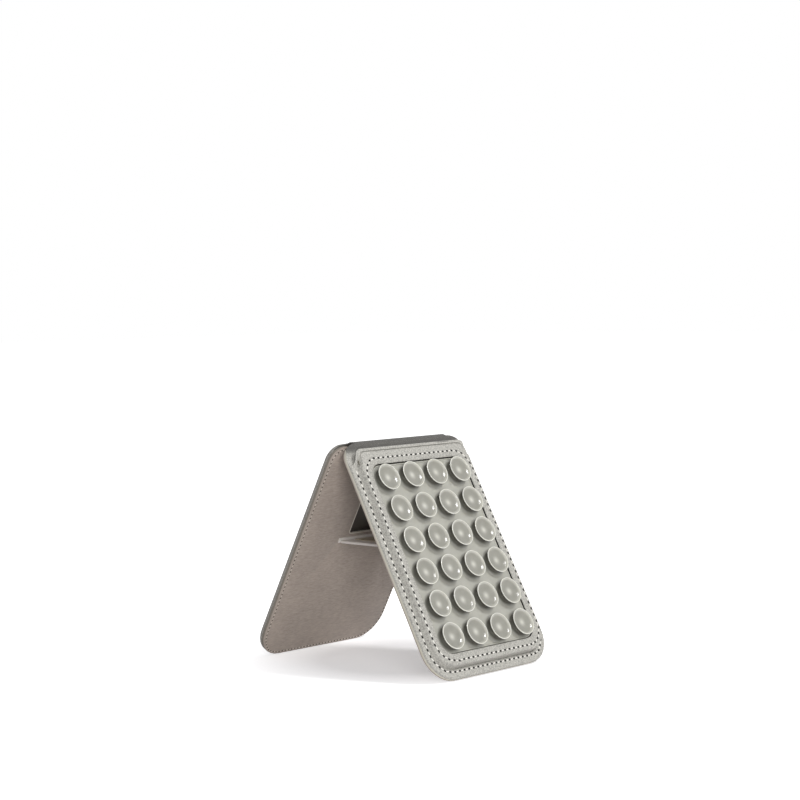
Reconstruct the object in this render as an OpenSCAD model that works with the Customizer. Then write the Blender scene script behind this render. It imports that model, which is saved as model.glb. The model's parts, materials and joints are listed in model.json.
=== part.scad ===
// Magnetic card holder and folding phone stand.
// Two leather-covered panels are hinged at the top and held apart by a folding strut.
// The front panel is the card wallet with suction pad, the rear panel holds the phone by magnets.
// Units are millimetres. X runs along the hinge, -Y is the wallet side and the feet stand on z = 0.

/* [Stand] */

// Width of both panels along the hinge
panel_width = 66; // [64:1:74]
// Height of the hinge axis above the table
axis_height = 81; // [80:0.5:88]
// Angle of each panel from upright when the stand is open
lean = 28.3; // [26:0.1:30]
// Half of the gap between the panels when they are folded shut
half_gap = 1.4; // [1.4:0.05:2]
// Corner radius of the panels at the hinge
top_radius = 6.5; // [5:0.5:9]
// Corner radius of the panels at the feet
foot_radius = 11.5; // [8:0.5:14]

/* [Leather] */

// Thickness of the lining on both inner faces
lining = 0.6; // [0.5:0.05:0.8]
// Thickness of the leather on the outer faces
skin = 0.5; // [0.4:0.05:0.6]
// Width of the painted edge around each panel
edge_band = 1; // [0.8:0.1:1.4]
// Thickness of the wallet board
wallet_board = 0.6; // [0.5:0.05:0.9]
// Thickness of the magnet board in the rear panel
magnet_board = 2; // [1.9:0.1:2.6]

/* [Card pocket] */

// Clear height of the card pocket
pocket_height = 1.2; // [0.9:0.1:1.6]
// Width of the spacer strip round the pocket
spacer_width = 1.4; // [1:0.1:2]
// Width of the stitched margin round the raised front
margin = 2.8; // [2.4:0.1:3.4]
// Height of the raised front above the stitched margin
front_rise = 2.4; // [2:0.1:3]
// Thickness of the front leather
front_skin = 0.8; // [0.6:0.05:1]
// Width of the band of leather under the foot of the raised front
foot_band = 3.85; // [3.4:0.05:4.4]
// Thickness of the stitched margin
flange_skin = 0.6; // [0.5:0.05:0.8]
// Distance from the hinge axis down to the mouth of the pocket
mouth = 2; // [1.8:0.1:6]
// Width and depth of the stepped shoulder at each end of the mouth
notch = 5.1; // [4.5:0.1:6]
// Width of the front beside the window
frame_side = 7; // [6:0.1:8]
// Width of the raised front below the window
frame_foot = 4.8; // [4.2:0.05:5.5]
// Distance from the hinge axis down to the top of the window
window_top = 8.8; // [8:0.1:12]
// Corner radius of the window
window_radius = 5.5; // [3:0.5:6]

/* [Suction pad] */

// Spacing of the cups across the pad, which holds as many columns as fit the window
pitch_across = 13.2; // [12:0.1:15]
// Spacing of the cups down the pad, which holds as many rows as fit the window
pitch_down = 12.64; // [12:0.02:15]
// Radius of each cup at its rim
cup_radius = 5.2; // [4.8:0.1:5.6]
// Height of each cup above the pad
cup_height = 2.8; // [2.4:0.1:3.6]
// Overhang of the thin skirt of a cup beyond its stem
cup_skirt = 1.9; // [1.6:0.1:2.4]
// Depth of the hollow in each cup
cup_dish = 1.1; // [0.8:0.1:1.4]
// Least gap between the cups and the side of the window
cup_edge = 0.4; // [0.2:0.1:1]
// Thickness of the pad
pad_thickness = 0.6; // [0.5:0.05:0.9]

/* [Magnets] */

// Inner diameter of the phone magnet ring
ring_inner = 46.5; // [46:0.5:48]
// Width of the band of magnets
ring_band = 4.25; // [3.5:0.25:4.5]
// Board left between the ring and the painted edge at the hinge
ring_gap = 1.6; // [0.4:0.1:3]
// Magnets in the ring
ring_magnets = 18; // [12:2:20]
// Thickness of the magnets
magnet_thickness = 1.5; // [1.2:0.1:1.7]
// Thickness of the steel yoke behind the magnets
yoke_thickness = 0.3; // [0.2:0.05:0.4]
// Distance from the centre of the ring down to the alignment magnet
bar_offset = 38.5; // [36:0.5:40]
// Length of the alignment magnet
bar_width = 20; // [16:0.5:22]
// Height of the alignment magnet
bar_height = 5.5; // [4:0.5:6]

/* [Strut] */

// Distance from the hinge axis down to the root of the strut
strut_drop = 41.7; // [40:0.1:44]
// Width of the strut
strut_width = 23; // [20:0.5:26]
// Play at the free end of the strut in the open pose
tip_play = 0.24; // [0.2:0.02:3]
// Thickness of the strut without its strap
strut_thickness = 1.1; // [1:0.1:1.6]
// Width of the strap and of the window it folds out of
strap_width = 14; // [12:0.5:16]
// Length of the strap window above the strut
strap_window = 19.3; // [16:0.1:22]
// Length across of the steel plate that holds the end of the strut
keeper_width = 22; // [20:0.5:24]
// Height of the steel plate that holds the end of the strut
keeper_height = 12; // [10:0.5:14]

/* [Hidden] */

$fn = 64;
// Fits and clearances
fit = 0.05;
running = 0.12;
magnet_fit = 0.1;
overlap = 0.01;
// Run of a cutting tool past the face that it cuts
through = 1;
// Hinge leather round the axis
spine_wall = 0.8;
liner_wall = 0.7;
liner_gap = 0.08;
liner_outer = half_gap + liner_gap + liner_wall;
spine_outer = liner_outer + running + spine_wall;
liner_sweep = 76;
spine_sweep = 180 - 2 * lean;
arc_steps = 6;
panel_start = 0.3;
// Levels outward from the plane through the axis, wallet panel
board_low = half_gap + lining;
board_high = board_low + wallet_board;
back_high = board_high + skin;
carrier_low = back_high + pocket_height;
carrier_wall = 0.3;
carrier_high = carrier_low + carrier_wall;
flange_high = back_high + flange_skin;
front_high = flange_high + front_rise;
front_low = front_high - front_skin;
pad_high = carrier_high + pad_thickness;
curb_height = 0.35;
curb_width = 0.8;
// Levels outward from the plane through the axis, rear panel
face_low = board_low + magnet_board;
face_high = face_low + skin;
// Outline
half_width = panel_width / 2;
foot_drop = (axis_height + half_gap * sin(lean)) / cos(lean);
side_wall = 0.9;
raised_foot = foot_drop - foot_band;
shoulder = half_width - notch;
notch_steps = 10;
front_chamfer = 0.35;
window_width = panel_width - 2 * frame_side;
window_length = raised_foot - window_top - frame_foot;
padding_gap = 1;
spacer_corner = 1;
pocket_inset = margin + side_wall + fit;
pocket_half = half_width - pocket_inset - spacer_width;
// Rows and columns of cups that fit the window
cup_room = 2 * (cup_radius + cup_edge);
cup_columns = 1 + floor((window_width - cup_room) / pitch_across);
cup_rows = 1 + floor((window_length - cup_room) / pitch_down);
cup_lip = 0.35;
cup_waist = 0.3;
dish_steps = 8;
// Magnets and steel
pocket_floor = 0.15;
ring_outer = ring_inner + 2 * ring_band;
ring_drop = panel_start + edge_band + ring_gap + ring_outer / 2;
magnet_low = board_low + pocket_floor;
yoke_low = magnet_low + magnet_thickness;
magnet_gap_angle = 1.6;
bar_drop = ring_drop + bar_offset;
keeper_play = 0.05;
// Strap window and strut
recess_floor = 0.3;
recess_wall = 0.4;
strap_corner = 1;
core_start = 2.6;
window_low = strut_drop - core_start - strap_window;
strap_wall = 0.35;
strap_end = 1;
core_wall = 0.5;
anchor_wall = 0.5;
anchor_height = 2;
slit_height = 1.2;
strut_length = 2 * strut_drop * sin(lean) - tip_play;
tip_magnet_width = 6;
tip_magnet_length = 3;
tip_magnet_gap = 1;
strut_inset = 0.8;
tip_bar = 4;
// Shift that centres the stand on its own width
rear_reach = foot_drop * sin(lean) + face_high * cos(lean);
front_reach = (raised_foot - front_chamfer) * sin(lean) + front_high * cos(lean);
centre_shift = (front_reach - rear_reach) / 2;

// Frame of the wallet panel: x along the hinge, y up the panel from the axis, z outward
module on_wallet() {
    translate([0, centre_shift, axis_height])
        rotate([90 - lean, 0, 0])
            children();
}

// Frame of the rear panel: the same, turned to the other side
module on_rear() {
    translate([0, centre_shift, axis_height])
        rotate([90 - lean, 0, 180])
            children();
}

// Frame of the strut at rest: y from the root to the wallet panel, z up
module on_strut() {
    translate([0, centre_shift + strut_drop * sin(lean), axis_height - strut_drop * cos(lean)])
        rotate([0, 0, 180])
            children();
}

// A flat layer between two levels
module layer(low, high) {
    translate([0, 0, low])
        linear_extrude(height = high - low)
            children();
}

// Rounded rectangle given by its sides and one corner radius at the top and one at the bottom
module rounded(half, top, bottom, upper, lower) {
    translate([-half, bottom + lower])
        square([2 * half, top - upper - bottom - lower]);
    translate([-half + upper, top - upper - overlap])
        square([2 * (half - upper), upper + overlap]);
    translate([-half + lower, bottom])
        square([2 * (half - lower), lower + overlap]);
    for (side = [-1, 1]) {
        translate([side * (half - upper), top - upper])
            circle(r = upper);
        translate([side * (half - lower), bottom + lower])
            circle(r = lower);
    }
}

// Panel outline, drawn in by an inset
module panel_outline(inset = 0) {
    rounded(
        half_width - inset, -panel_start - inset, -foot_drop + inset,
        top_radius - inset, foot_radius - inset
    );
}

// Rectangle with one corner radius, centred on x
module rounded_window(width, top, length, radius) {
    rounded(width / 2, -top, -top - length, radius, radius);
}

// Area below the mouth of the pocket, with the stepped shoulders at both corners
module below_mouth(inset = 0) {
    side = half_width + through;
    step = -mouth - notch - inset;
    right = [
        for (i = [0 : notch_steps])
            let (t = i / notch_steps)
            [shoulder - inset + notch * t, -mouth - inset - notch * t * t * (3 - 2 * t)]
    ];
    left = [for (i = [notch_steps : -1 : 0]) [-right[i][0], right[i][1]]];
    polygon(concat(
        right, [[side, step], [side, -foot_drop - through]],
        [[-side, -foot_drop - through], [-side, step]], left
    ));
}

// Outline of the raised part of the front, drawn in by an inset
module raised_outline(inset = 0) {
    intersection() {
        rounded(
            half_width - margin - inset, -panel_start - inset, -raised_foot + inset,
            top_radius - margin, foot_radius - margin - inset
        );
        below_mouth(inset);
    }
}

module front_window(grow = 0) {
    rounded_window(
        window_width + 2 * grow, window_top - grow, window_length + 2 * grow, window_radius + grow
    );
}

// Arc of leather round the hinge axis, from one panel towards the other
module hinge_arc(outer, wall, sweep, width) {
    translate([-width / 2, 0, 0])
        rotate([90, 0, 90])
            difference() {
                intersection() {
                    cylinder(r = outer, h = width);
                    translate([0, 0, -overlap])
                        linear_extrude(height = width + 2 * overlap)
                            polygon(concat([[0, 0]], [
                                for (i = [0 : arc_steps])
                                    let (a = 90 - sweep * i / arc_steps)
                                    [2 * outer * cos(a), 2 * outer * sin(a)]
                            ]));
                }
                translate([0, 0, -through])
                    cylinder(r = outer - wall, h = width + 2 * through);
            }
}

module hinge_flat(outer, wall, width) {
    translate([-width / 2, -panel_start, outer - wall])
        cube([width, panel_start + overlap, wall]);
}

// Rear panel, which carries the phone

module rear_face_skin() {
    color("#4a4846")
        on_rear()
            layer(face_low, face_high)
                panel_outline();
}

module rear_edge() {
    color("#b3aca4")
        on_rear()
            layer(board_low, face_low)
                difference() {
                    panel_outline();
                    panel_outline(edge_band);
                }
}

module magnet_board_plate() {
    color("#8d8a84")
        on_rear()
            difference() {
                layer(board_low, face_low)
                    panel_outline(edge_band);
                translate([0, -ring_drop, board_low + pocket_floor])
                    difference() {
                        cylinder(d = ring_outer + 2 * magnet_fit, h = magnet_board);
                        translate([0, 0, -through])
                            cylinder(
                                d = ring_inner - 2 * magnet_fit, h = magnet_board + 2 * through
                            );
                    }
                translate([
                    -bar_width / 2 - magnet_fit, -bar_drop - bar_height / 2 - magnet_fit,
                    board_low + pocket_floor
                ])
                    cube([bar_width + 2 * magnet_fit, bar_height + 2 * magnet_fit, magnet_board]);
                translate([
                    -strap_width / 2 - recess_wall, -window_low - strap_window - recess_wall, 0
                ])
                    cube([strap_width + 2 * recess_wall, strap_window + 2 * recess_wall, face_high]);
            }
}

module ring_magnets_set() {
    step = 360 / ring_magnets;
    color("#9a9da1")
        on_rear()
            translate([0, -ring_drop, magnet_low])
                for (i = [0 : ring_magnets - 1])
                    rotate([0, 0, i * step + magnet_gap_angle / 2])
                        rotate_extrude(angle = step - magnet_gap_angle)
                            translate([ring_inner / 2, 0])
                                square([ring_band, magnet_thickness]);
}

module ring_yoke() {
    color("#6d7073")
        on_rear()
            translate([0, -ring_drop, yoke_low])
                difference() {
                    cylinder(d = ring_outer, h = yoke_thickness);
                    translate([0, 0, -through])
                        cylinder(d = ring_inner, h = yoke_thickness + 2 * through);
                }
}

module alignment_magnet() {
    color("#9a9da1")
        on_rear()
            translate([-bar_width / 2, -bar_drop - bar_height / 2, magnet_low])
                cube([bar_width, bar_height, magnet_thickness]);
}

module rear_lining() {
    color("#77706a")
        on_rear()
            layer(half_gap, board_low)
                difference() {
                    panel_outline();
                    rounded_window(strap_width, window_low, strap_window, strap_corner);
                    translate([-strut_width / 2, -strut_drop - slit_height / 2])
                        square([strut_width, slit_height]);
                }
}

// Dark tray behind the strap window
module window_recess() {
    depth = face_low - recess_floor;
    color("#2e2c2a")
        on_rear()
            difference() {
                translate([
                    -strap_width / 2 - recess_wall + fit,
                    -window_low - strap_window - recess_wall + fit, board_low
                ])
                    cube([
                        strap_width + 2 * (recess_wall - fit),
                        strap_window + 2 * (recess_wall - fit), magnet_board
                    ]);
                translate([-strap_width / 2, -window_low - strap_window, board_low - through])
                    cube([strap_width, strap_window, depth - board_low + through]);
            }
}

// Leather tab that closes the slit behind the root of the strut
module strut_anchor() {
    color("#6b645e")
        on_rear() {
            translate([-strut_width / 2 + fit, -strut_drop - slit_height / 2 + fit, half_gap])
                cube([strut_width - 2 * fit, slit_height - 2 * fit, lining]);
            translate([
                -strut_width / 2, -strut_drop - anchor_height / 2, half_gap - anchor_wall
            ])
                cube([strut_width, anchor_height, anchor_wall]);
        }
}

module hinge_cover() {
    width = panel_width - 2 * top_radius;
    color("#7d7b77")
        on_rear() {
            hinge_arc(spine_outer, spine_wall, spine_sweep, width);
            hinge_flat(spine_outer, spine_wall, width);
        }
}

// Wallet panel

module hinge_liner() {
    width = panel_width - 2 * top_radius;
    color("#8f8d88")
        on_wallet() {
            hinge_arc(liner_outer, liner_wall, liner_sweep, width);
            hinge_flat(liner_outer, liner_wall, width);
        }
}

module wallet_lining() {
    color("#77706a")
        on_wallet()
            layer(half_gap, board_low)
                panel_outline();
}

module wallet_edge() {
    color("#b3aca4")
        on_wallet()
            layer(board_low, board_high)
                difference() {
                    panel_outline();
                    panel_outline(edge_band);
                }
}

module wallet_board_plate() {
    color("#8d8a84")
        on_wallet()
            layer(board_low, board_high)
                difference() {
                    panel_outline(edge_band);
                    translate([
                        -keeper_width / 2 - magnet_fit,
                        -strut_drop - keeper_height / 2 - magnet_fit
                    ])
                        square([keeper_width + 2 * magnet_fit, keeper_height + 2 * magnet_fit]);
                }
}

// Steel plate that the magnets in the strut hold on to
module keeper_plate() {
    color("#6d7073")
        on_wallet()
            layer(board_low, board_high - keeper_play)
                translate([-keeper_width / 2, -strut_drop - keeper_height / 2])
                    square([keeper_width, keeper_height]);
}

module wallet_back_skin() {
    color("#b4b3ac")
        on_wallet()
            layer(board_high, back_high)
                panel_outline();
}

// Strips that hold the pocket open at both sides and at the bottom
module pocket_spacer() {
    color("#8d8a84")
        on_wallet()
            layer(back_high, carrier_low)
                difference() {
                    spacer_outline(pocket_inset);
                    spacer_outline(pocket_inset + spacer_width);
                    translate([-pocket_half, -mouth - 2 * notch])
                        square([2 * pocket_half, mouth + 2 * notch]);
                }
}

module spacer_outline(inset) {
    rounded(
        half_width - inset, -mouth - notch, -raised_foot + inset - margin,
        spacer_corner, foot_radius - inset
    );
}

module pad_carrier() {
    color("#59574f")
        on_wallet()
            layer(carrier_low, carrier_high)
                raised_outline(side_wall + fit);
}

// Soft ring that fills out the raised front round the window
module front_padding() {
    color("#d8d4c8")
        on_wallet()
            layer(carrier_high, front_low)
                difference() {
                    raised_outline(side_wall + fit);
                    front_window(padding_gap);
                }
}

// Stitched margin and raised front, pressed from one piece of leather
module pocket_front() {
    color("#b4b3ac")
        on_wallet() {
            layer(back_high, flange_high)
                difference() {
                    intersection() {
                        panel_outline();
                        below_mouth();
                    }
                    raised_outline(side_wall);
                    translate([-half_width + margin, -mouth - notch])
                        square([panel_width - 2 * margin, mouth + notch]);
                }
            layer(back_high, front_high - front_chamfer)
                difference() {
                    raised_outline();
                    raised_outline(side_wall);
                    mouth_cut();
                }
            layer(front_low, front_high - front_chamfer)
                front_ring(0);
            layer(front_high - front_chamfer - overlap, front_high)
                front_ring(front_chamfer);
        }
}

module front_ring(inset) {
    difference() {
        raised_outline(inset);
        front_window(inset);
    }
}

// Opening of the pocket between the two shoulders
module mouth_cut() {
    translate([-pocket_half, -mouth - notch])
        square([2 * pocket_half, mouth + notch]);
}

// One silicone moulding: sheet, curb and suction cups
module suction_pad() {
    first = window_top + window_length / 2 - (cup_rows - 1) * pitch_down / 2;
    color("#a7a99c")
        on_wallet() {
            layer(carrier_high, pad_high)
                front_window(-2 * fit);
            layer(pad_high - overlap, pad_high + curb_height)
                difference() {
                    front_window(-2 * fit);
                    front_window(-curb_width);
                }
            for (row = [0 : cup_rows - 1])
                for (column = [0 : cup_columns - 1])
                    translate([
                        (column - (cup_columns - 1) / 2) * pitch_across,
                        -first - row * pitch_down, pad_high - overlap
                    ])
                        suction_cup();
        }
}

// Stem, waist, flared skirt with a thin lip, and a smooth round hollow
module suction_cup() {
    stem = cup_radius - cup_skirt;
    brim = cup_radius - cup_lip;
    hollow = [
        for (i = [0 : dish_steps])
            let (a = 90 * i / dish_steps)
            [brim * cos(a), cup_height - cup_dish * sin(a)]
    ];
    rotate_extrude()
        polygon(concat(
            [
                [0, 0], [stem, 0], [stem - cup_waist, cup_height / 4],
                [stem - cup_waist / 2, cup_height / 2], [stem + cup_skirt / 2, cup_height * 0.7],
                [cup_radius - cup_lip / 2, cup_height - 2 * cup_lip],
                [cup_radius, cup_height - cup_lip], [cup_radius - cup_lip / 3, cup_height]
            ],
            hollow
        ));
}

// Strut that holds the stand open

module strut_outline(inset = 0, start = 0) {
    translate([-strut_width / 2 + inset, start])
        square([strut_width - 2 * inset, strut_length - inset - start]);
}

module strut_core() {
    color("#5c5e61")
        on_strut()
            layer(-core_wall / 2, core_wall / 2)
                difference() {
                    strut_outline(strut_inset, core_start);
                    tip_magnet_places(magnet_fit);
                }
}

module tip_magnet_places(grow = 0) {
    for (place = [-1 : 1])
        translate([
            place * (tip_magnet_width + tip_magnet_gap) - tip_magnet_width / 2 - grow,
            strut_length - tip_bar - tip_magnet_length / 2 - grow
        ])
            square([tip_magnet_width + 2 * grow, tip_magnet_length + 2 * grow]);
}

module strut_lower_cover() {
    color("#a09b95")
        on_strut() {
            layer(-strut_thickness / 2, -core_wall / 2)
                strut_outline();
            translate([-strut_width / 2, 0, 0])
                rotate([0, 90, 0])
                    cylinder(r = strut_thickness / 2, h = strut_width);
            layer(-core_wall / 2 - overlap, core_wall / 2)
                difference() {
                    strut_outline();
                    strut_outline(strut_inset - fit, core_start - fit);
                }
        }
}

module strut_upper_cover() {
    color("#a8a29c")
        on_strut()
            layer(core_wall / 2, strut_thickness / 2)
                strut_outline(0, core_start - strut_inset);
}

module strut_magnets() {
    color("#9a9da1")
        on_strut()
            layer(-core_wall / 2, core_wall / 2)
                tip_magnet_places();
}

// Narrow strap on top of the strut, which folds out of the window
module strut_strap() {
    color("#8a8580")
        on_strut()
            layer(strut_thickness / 2, strut_thickness / 2 + strap_wall)
                translate([-strap_width / 2, core_start])
                    square([strap_width, strut_length - core_start - strap_end]);
}

rear_face_skin();
rear_edge();
magnet_board_plate();
ring_magnets_set();
ring_yoke();
alignment_magnet();
rear_lining();
window_recess();
strut_anchor();
hinge_cover();
hinge_liner();
wallet_lining();
wallet_edge();
wallet_board_plate();
keeper_plate();
wallet_back_skin();
pocket_spacer();
pad_carrier();
front_padding();
pocket_front();
suction_pad();
strut_core();
strut_lower_cover();
strut_upper_cover();
strut_magnets();
strut_strap();
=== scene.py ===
"""Looks of a magnetic card holder phone stand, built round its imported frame."""

import functools
import json
import math

import bmesh
import bpy
from bpy.props import FloatProperty, IntProperty, PointerProperty, StringProperty
from mathutils import Matrix, Vector


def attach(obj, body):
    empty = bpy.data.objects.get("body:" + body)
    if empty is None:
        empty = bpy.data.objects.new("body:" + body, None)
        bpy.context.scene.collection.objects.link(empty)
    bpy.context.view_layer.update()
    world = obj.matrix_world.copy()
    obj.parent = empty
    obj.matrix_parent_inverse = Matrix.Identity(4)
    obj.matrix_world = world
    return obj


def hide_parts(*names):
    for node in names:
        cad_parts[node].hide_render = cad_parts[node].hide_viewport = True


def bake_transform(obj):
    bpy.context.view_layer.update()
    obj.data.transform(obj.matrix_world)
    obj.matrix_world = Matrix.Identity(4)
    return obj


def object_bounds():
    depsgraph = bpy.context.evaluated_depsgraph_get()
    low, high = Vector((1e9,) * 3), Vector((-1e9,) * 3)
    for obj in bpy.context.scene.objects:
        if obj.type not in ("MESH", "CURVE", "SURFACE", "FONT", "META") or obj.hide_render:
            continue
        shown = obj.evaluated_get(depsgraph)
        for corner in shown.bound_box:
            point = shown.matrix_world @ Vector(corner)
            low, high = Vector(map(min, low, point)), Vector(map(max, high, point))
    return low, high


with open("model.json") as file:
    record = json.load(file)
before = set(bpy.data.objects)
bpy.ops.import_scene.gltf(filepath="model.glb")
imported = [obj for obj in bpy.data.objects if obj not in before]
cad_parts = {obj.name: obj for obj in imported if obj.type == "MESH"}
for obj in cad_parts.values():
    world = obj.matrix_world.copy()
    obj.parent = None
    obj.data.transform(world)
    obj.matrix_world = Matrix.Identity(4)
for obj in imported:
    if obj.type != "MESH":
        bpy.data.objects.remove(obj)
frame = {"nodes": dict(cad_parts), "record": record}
CAD_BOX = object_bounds()

bl_info = {
    "name": "Card Holder Phone Stand",
    "version": (1, 0, 0),
    "blender": (4, 5, 0),
    "location": "View3D > Sidebar > Phone Stand",
    "description": "Builds the leather, stitching and silicone of a folding phone stand",
    "category": "Add Mesh",
}

MM = 0.001
JOINTS = {joint["name"]: joint for joint in frame["record"]["behaviour"]["joints"]}
FOLD = JOINTS["main_fold"]
AXIS = Vector(FOLD["pos_m"]) / MM
LEAN = math.radians(FOLD["range_deg"][1] / 2)
ROOT = Vector(JOINTS["strut_fold"]["pos_m"]) / MM
BODY_REAR = "rear_panel"
BODY_WALLET = "wallet_panel"
BODY_STRUT = "strut"

# Levels outward from the plane through the hinge axis, in millimetres: the lining starts at
# half of the gap between the shut panels, and the front is the pocket's raised frame
HALF_GAP = 1.4
LINING = 0.6
BOARD_LOW = HALF_GAP + LINING
BACK_LOW = 2.6
BACK_HIGH = 3.1
FLANGE_HIGH = 3.7
CARRIER_HIGH = 4.6
FRONT_HIGH = 6.1
PAD_HIGH = 5.2
FACE_HIGH = 4.5
LEATHER = 0.5
FRONT_RISE = FRONT_HIGH - FLANGE_HIGH

# Outline of the panels, in millimetres
HALF_WIDTH = (CAD_BOX[1][0] - CAD_BOX[0][0]) / MM / 2
PANEL_START = 0.3
FOOT_DROP = (AXIS.z + HALF_GAP * math.sin(LEAN)) / math.cos(LEAN)
FOOT_RADIUS = 11.5
# The flat stitched margin beside the raised frame and below it
MARGIN = 2.8
FOOT_BAND = 3.85
# The mouth of the pocket, and the stepped shoulders beside it, which swing in an S curve
MOUTH = 2
NOTCH = 6
NOTCH_DROP = 5.5
NOTCH_SWING = 0.12
SHOULDER = HALF_WIDTH - NOTCH
WINDOW_HALF = 26
WINDOW_TOP = 8.8
WINDOW_FOOT = FOOT_DROP - FOOT_BAND - 4.8
WINDOW_RADIUS = 5.5
# The leather runs on into the bend, and the lining and the edges reach a little way with it
WAIST_RADIUS = 7.6
WAIST_CENTRE = 6
LINING_START = -0.6
LINING_RADIUS = 6
HALF_BEND = BACK_HIGH * (math.pi / 2 - LEAN)
LINING_CLEARANCE = 0.05
# The rear face is cut smaller and rises to its level over a run, and painted shade darkens the
# bend
FACE_INSET = 0.6
FACE_RUN = 5
SPINE_SHADE_REACH = 3.2
SPINE_SHADE_FADE = 2
STRUT_CORNER = 0.7
# Slant of each stitch against its seam
SLANT = math.radians(7)

# How finely the curves are stepped
ARC_STEPS = 8
SHOULDER_STEPS = 12
BOX_STEPS = 4
CORNER_STEPS = 10
BEND_STEPS = 3
MIDDLE_ROWS = 6
MIDDLE_STEP = 12
COVER_COLUMNS = 24
DISH_STEPS = 14
CUP_SEGMENTS = 36

# Share of painted light on the sheet of the suction pad, beside the cups
PAD_PAINTED_LIGHT = 0.48

# Rows of the pocket front, from its cut edge to the top of its frame: insets at the sides, the
# foot and the mouth, levels at the sides and the mouth, and the depth of the crease at the foot
FRONT_ROWS = (
    (0.1, 0.1, 0.12, BACK_HIGH, BACK_HIGH + FRONT_RISE, 0),
    (0.0, 0.0, 0.0, BACK_HIGH + 0.15, BACK_HIGH + FRONT_RISE + 0.15, 0),
    (0.05, 0.05, 0.02, FLANGE_HIGH - 0.25, FRONT_HIGH - 0.25, 0),
    (0.2, 0.2, 0.15, FLANGE_HIGH - 0.06, FRONT_HIGH - 0.06, 0),
    (0.5, 0.5, 0.4, FLANGE_HIGH, FRONT_HIGH, 0),
    (MARGIN - 0.3, FOOT_BAND - 0.35, 0.95, FLANGE_HIGH, FRONT_HIGH - 0.02, 0),
    (MARGIN - 0.1, FOOT_BAND - 0.08, 1.12, FLANGE_HIGH - 0.1, FRONT_HIGH - 0.14, 0.36),
    (MARGIN + 0.1, FOOT_BAND + 0.1, 1.2, FLANGE_HIGH + 0.1, FRONT_HIGH - 0.62, 0.3),
    (MARGIN + 0.3, FOOT_BAND + 0.22, 1.45, FLANGE_HIGH + FRONT_RISE * 0.5, FRONT_HIGH - 0.6, 0.2),
    (MARGIN + 0.55, FOOT_BAND + 0.36, 1.55, FRONT_HIGH - 0.42, FRONT_HIGH - 0.12, 0),
    (MARGIN + 0.85, FOOT_BAND + 0.62, 1.7, FRONT_HIGH - 0.12, FRONT_HIGH - 0.02, 0),
    (MARGIN + 1.25, FOOT_BAND + 1.1, 2.1, FRONT_HIGH, FRONT_HIGH, 0),
)
# The eased rim of its window: how far it grows, and how far it lies below the top
WINDOW_ROWS = ((0.45, 0), (0.12, 0.1), (0.0, 0.3), (0.12, 0.45), (0.7, 0.5))
# Its underside: insets at the sides, the foot and the mouth, and levels at the sides and mouth
UNDER_ROWS = (
    (MARGIN + 1.6, FOOT_BAND + 1.6, 2.5, FRONT_HIGH - 0.6, FRONT_HIGH - 0.6),
    (MARGIN + 0.9, FOOT_BAND + 0.9, 2.0, BACK_HIGH, FRONT_HIGH - 0.7),
)
# Painted shade in the mouth's creases: half length, distance below the mouth, middle, depth below
# the top
MOUTH_CREASE_SHADES = ((21.0, 1.3, -0.4, 0.52), (3.2, 0.62, 18, 0))
CREASE_SHADE_HALF = 0.13


def panel_matrix(side):
    """Matrix from a panel's own millimetres (across, up, outward) to the frame's metres.

    side is -1 for the wallet panel and 1 for the rear panel.
    """
    across = Vector((-side, 0, 0))
    up = Vector((0, -side * math.sin(LEAN), math.cos(LEAN)))
    outward = Vector((0, side * math.cos(LEAN), math.sin(LEAN)))
    turn = Matrix((across, up, outward)).transposed().to_4x4()
    return Matrix.Scale(MM, 4) @ Matrix.Translation(AXIS) @ turn


WALLET = panel_matrix(-1)
REAR = panel_matrix(1)
STRUT = Matrix.Scale(MM, 4) @ Matrix.Translation(ROOT) @ Matrix.Rotation(math.pi, 4, "Z")


class StandSizes(bpy.types.PropertyGroup):
    """Sizes of the details, in millimetres."""

    stitch_pitch: FloatProperty(
        name="Stitch pitch", description="Distance between wallet stitches", default=2.55, min=1
    )
    lining_pitch: FloatProperty(
        name="Lining pitch", description="Distance between lining stitches", default=1.7, min=1
    )
    thread: FloatProperty(
        name="Thread", description="Thickness of the sewing thread", default=0.46, min=0.1
    )
    cup_radius: FloatProperty(
        name="Cup radius", description="Radius of a suction cup at its rim", default=5.2, min=1
    )
    cup_height: FloatProperty(
        name="Cup height", description="Height of a suction cup above the pad", default=2.8, min=1
    )
    pitch_across: FloatProperty(
        name="Cups across", description="Spacing of the cups across the pad", default=13.2
    )
    pitch_down: FloatProperty(
        name="Cups down", description="Spacing of the cups down the pad", default=12.64
    )
    cup_columns: IntProperty(
        name="Columns", description="Columns of suction cups", default=4, min=1
    )
    cup_rows: IntProperty(name="Rows", description="Rows of suction cups", default=6, min=1)


class StandColours(bpy.types.PropertyGroup):
    """Colours as sRGB hex values."""

    leather: StringProperty(
        name="Leather", description="Grained leather of the wallet", default="#AFADA6"
    )
    # Painted shade: the leather's darker tone in the bend, where shade falls
    spine_shade: StringProperty(
        name="Spine", description="The same leather, darker where it is bent", default="#4F4D49"
    )
    lining: StringProperty(
        name="Lining", description="Brushed lining of both inner faces", default="#A3978D"
    )
    # Painted shade and light on the suction pad: its colour runs from the shaded tone to the lit
    # one
    silicone: StringProperty(
        name="Silicone", description="Suction pad where it is thin or shaded", default="#5C5A51"
    )
    silicone_lit: StringProperty(
        name="Silicone lit", description="Suction pad where it glows", default="#D6D5CB"
    )
    thread: StringProperty(name="Thread", description="Sewing thread", default="#E4E2DB")
    # Painted shade: the rear panel's edge paint is darkened for the shade along the edge
    edge: StringProperty(
        name="Edge", description="Painted edge of the rear panel", default="#7A736A"
    )
    wallet_edge: StringProperty(
        name="Wallet edge", description="Painted edge of the wallet panel", default="#C4C0B2"
    )
    strap: StringProperty(name="Strap", description="Leather of the strut", default="#D8D3CE")


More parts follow.
